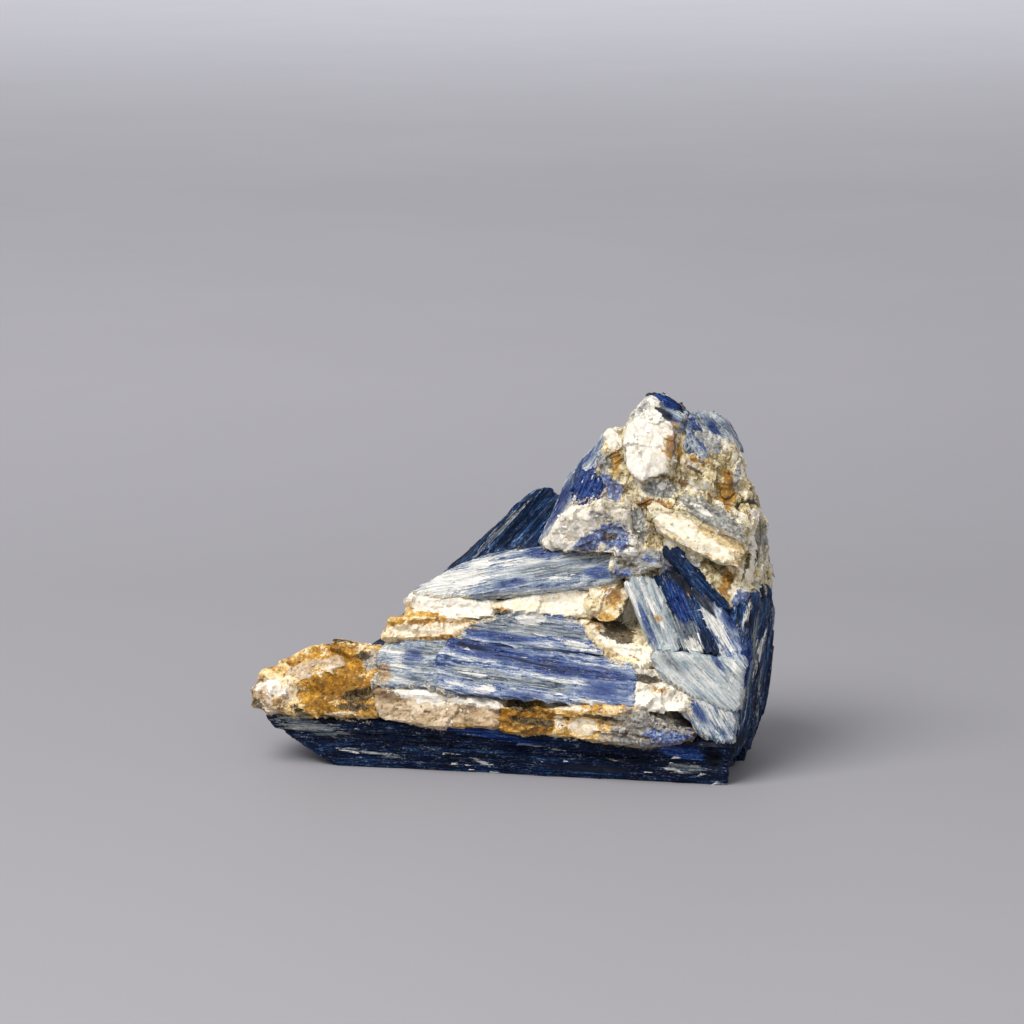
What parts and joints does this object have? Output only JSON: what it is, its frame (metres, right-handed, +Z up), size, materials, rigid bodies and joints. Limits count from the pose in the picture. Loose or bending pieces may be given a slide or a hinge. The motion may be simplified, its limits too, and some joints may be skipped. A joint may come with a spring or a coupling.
{
  "type": "kyanite blade cluster",
  "caption": "Hand-size mineral lump of flat blue kyanite blades grown through milky quartz and cream feldspar, resting on a long dark blade.",
  "frame": {"origin": "on the table under the middle of the lump", "axes": "+X to the right along the long front edge, +Y to the back, +Z up"},
  "size_m": [0.087, 0.0386, 0.06],
  "materials": {
    "kyanite_deep": "dark navy kyanite, glassy cleavage faces with fine long striations and splintery ends",
    "kyanite_pale": "pale grey-blue kyanite, pearly cleavage faces with blue streaks along the blade",
    "kyanite_violet": "violet-blue kyanite, striated, with cream and deep blue streaks",
    "milky_quartz": "white to beige granular quartz, sugary and slightly translucent",
    "stained_quartz": "quartz stained ochre and brown by iron, rough and earthy",
    "feldspar": "cream feldspar, satin cleavage faces with fine cracks"
  },
  "bodies": {
    "root": {"base_blade": "kyanite_deep", "front_main_blade": "kyanite_violet", "front_left_blade": "kyanite_pale", "front_upper_blade": "kyanite_violet", "ridge_blade": "kyanite_pale", "diagonal_left_blade": "kyanite_pale", "diagonal_middle_blade": "kyanite_deep", "diagonal_right_blade": "kyanite_violet", "corner_blade": "kyanite_pale", "corner_foot_blade": "kyanite_pale", "side_front_blade": "kyanite_deep", "side_rear_blade": "kyanite_deep", "tower_outer_blade": "kyanite_pale", "tower_deep_blade": "kyanite_deep", "cap_blade": "kyanite_deep", "cap_lower_blade": "kyanite_pale", "fan_blades": "kyanite_pale", "back_blade": "kyanite_deep", "back_middle_blade": "kyanite_violet", "back_right_blade": "kyanite_pale", "back_foot_blade": "kyanite_deep", "flank_blade": "kyanite_pale", "stained_quartz_tip": "stained_quartz", "beige_quartz": "milky_quartz", "brown_quartz_band": "stained_quartz", "white_quartz": "milky_quartz", "layered_quartz": "stained_quartz", "cream_wedge": "feldspar", "yellow_quartz_grain": "stained_quartz", "centre_feldspar": "feldspar", "corner_quartz": "milky_quartz", "shoulder_quartz": "milky_quartz", "granular_knot": "milky_quartz", "peak_quartz": "milky_quartz", "feldspar_grain": "feldspar", "quartz_mass": "milky_quartz", "rear_quartz": "stained_quartz", "crack_blade": "kyanite_deep", "tip_end_quartz": "milky_quartz", "tip_ledge_quartz": "milky_quartz", "grey_quartz_band": "milky_quartz", "tower_tan_grain": "milky_quartz", "tower_flank_grain": "milky_quartz", "ridge_end_grain": "milky_quartz"}
  },
  "joints": []
}
